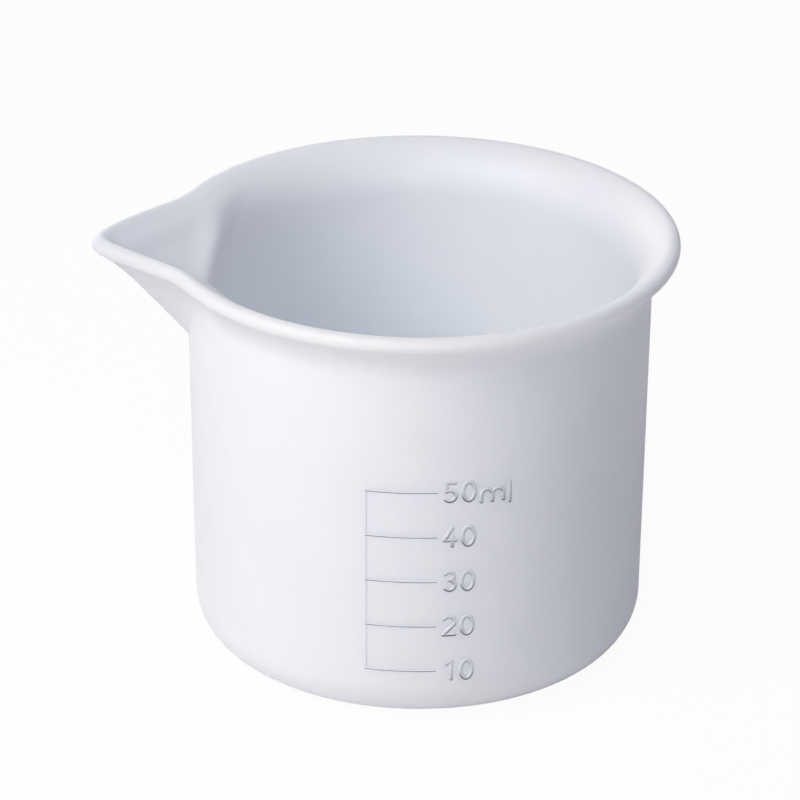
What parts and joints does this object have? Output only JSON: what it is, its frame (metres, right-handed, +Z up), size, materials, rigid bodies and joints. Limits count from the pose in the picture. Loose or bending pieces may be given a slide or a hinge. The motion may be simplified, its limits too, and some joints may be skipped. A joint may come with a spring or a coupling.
{
  "type": "resin mixing cup",
  "caption": "Small soft silicone mixing cup with a flared lip, a V-shaped pouring spout and a raised scale in millilitres.",
  "frame": {"origin": "centre of the flat base, on the axis of the round wall, at the surface the cup stands on", "axes": "+Z up along the cup's axis, -X towards the tip of the spout, -Y towards the front, where the scale is"},
  "size_m": [0.0659, 0.0584, 0.049],
  "materials": {
    "silicone": "frosted translucent silicone, matt, cool white",
    "silicone_relief": "the same silicone, raised in the mould, with sharper edges"
  },
  "bodies": {
    "root": {"cup": "silicone", "scale_lines": "silicone_relief", "scale_numbers": "silicone_relief"}
  },
  "joints": []
}
